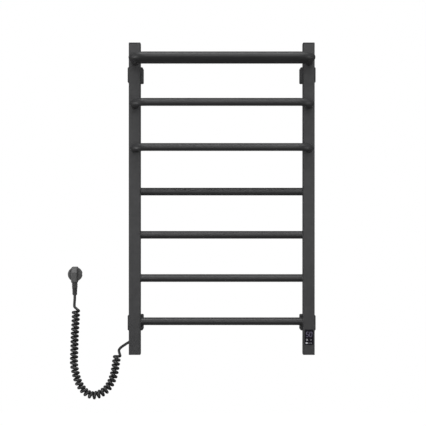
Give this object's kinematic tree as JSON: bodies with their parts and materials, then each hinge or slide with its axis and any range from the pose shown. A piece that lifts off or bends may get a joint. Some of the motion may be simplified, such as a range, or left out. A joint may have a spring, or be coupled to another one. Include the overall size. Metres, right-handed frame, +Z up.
{
  "type": "towel warmer rack",
  "caption": "Electric ladder towel warmer with square posts, straight and bowed round rungs, a tube shelf, wall stand-offs, a touch control and a curly mains cord.",
  "frame": {"origin": "centre of the four wall screws, on the wall plane", "axes": "+Z up along the posts, +Y into the wall, +X to the right seen from the room"},
  "size_m": [0.649, 0.207, 0.929],
  "materials": {
    "frame": "fine-textured matt graphite powder coat",
    "end_caps": "moulded, matt graphite",
    "standoffs": "fine-textured matt graphite powder coat",
    "wall_bases": "matt graphite powder coat",
    "plated_steel": "zinc plated",
    "nickel_plate": "nickel plated",
    "black_plastic": "moulded polyamide, satin black",
    "soft_black_plastic": "soft moulded black",
    "cord_sheath": "satin black flexible sheath",
    "plug_plastic": "soft moulded dark grey",
    "display_glass": "smoked glossy front",
    "circuit_board": "green solder mask",
    "relay_blue": "moulded blue",
    "terminal_green": "moulded green",
    "wire_sheath": "grey sheath",
    "heating_silicone": "brick red silicone"
  },
  "bodies": {
    "wall_side": {"wall_base_left_top": "wall_bases", "wall_base_left_bottom": "wall_bases", "wall_base_right_top": "wall_bases", "wall_base_right_bottom": "wall_bases", "plug_body": "plug_plastic", "plug_pins": "nickel_plate", "plug_earth_clips": "nickel_plate", "plug_strain_relief": "soft_black_plastic"},
    "rack": {"post_left": "frame", "post_right": "frame", "rung_1": "frame", "rung_2": "frame", "rung_3": "frame", "rung_4": "frame", "bowed_rung_lower": "frame", "bowed_rung_upper": "frame", "shelf_front_tube": "frame", "shelf_middle_tube": "frame", "shelf_rear_tube": "frame", "end_cap_left_top": "end_caps", "end_cap_left_bottom": "end_caps", "end_cap_right_top": "end_caps", "end_cap_right_bottom": "end_caps", "sleeve_left_top": "standoffs", "sleeve_left_bottom": "standoffs", "sleeve_right_top": "standoffs", "sleeve_right_bottom": "standoffs", "sleeve_screws": "plated_steel", "rivet_nuts": "plated_steel", "grub_screws": "plated_steel", "cable_gland": "black_plastic", "gland_locknut": "black_plastic", "gland_strain_relief": "soft_black_plastic", "cord_lead_gland": "cord_sheath", "cord_coil": "cord_sheath", "cord_lead_plug": "cord_sheath", "display_glass": "display_glass", "display_holder": "black_plastic", "digit_module": "black_plastic", "touch_springs": "nickel_plate", "control_board": "circuit_board", "relay": "relay_blue", "terminal_block": "terminal_green", "mains_wires": "wire_sheath", "heating_cable": "heating_silicone", "heating_end_seal": "nickel_plate", "temperature_sensor": "wire_sheath", "earth_terminal": "plated_steel"}
  },
  "joints": [
    {"name": "standoff_slide", "type": "slide", "parent": "wall_side", "child": "rack", "axis": [0, -1, 0], "range_m": [0, 0.012]}
  ]
}
